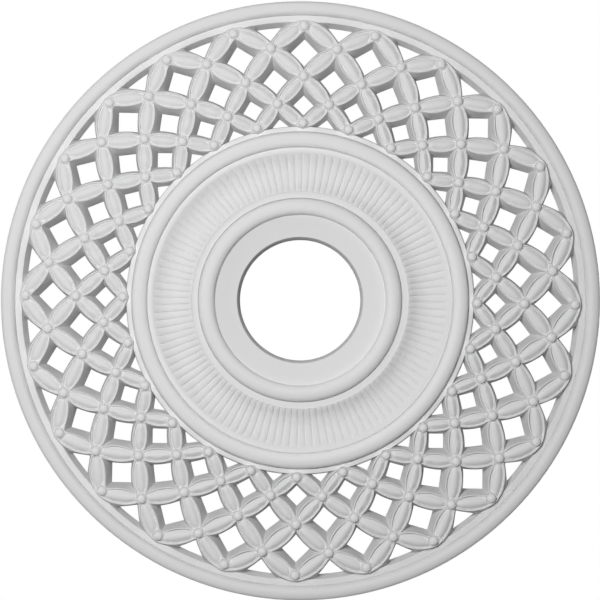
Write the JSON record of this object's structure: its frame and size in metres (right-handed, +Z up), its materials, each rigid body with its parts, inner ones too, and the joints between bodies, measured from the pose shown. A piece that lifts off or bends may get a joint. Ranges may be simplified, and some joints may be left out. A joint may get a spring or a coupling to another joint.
{
  "type": "ceiling rose",
  "caption": "Round pierced ceiling rose with a lattice of petals and beads, a reeded boss and a centre hole with a flat canopy seat.",
  "frame": {"origin": "centre of the flat back, in the plane where it meets the ceiling, on the centre hole's axis", "axes": "+Z up into the ceiling, the ornament faces down along -Z; +X points from the centre to a bead of the outermost ring"},
  "size_m": [0.5649, 0.565, 0.028],
  "materials": {
    "primed_moulding": "white primed surface of a rigid moulded foam, matte"
  },
  "bodies": {
    "root": {"ceiling_rose": "primed_moulding"}
  },
  "joints": []
}
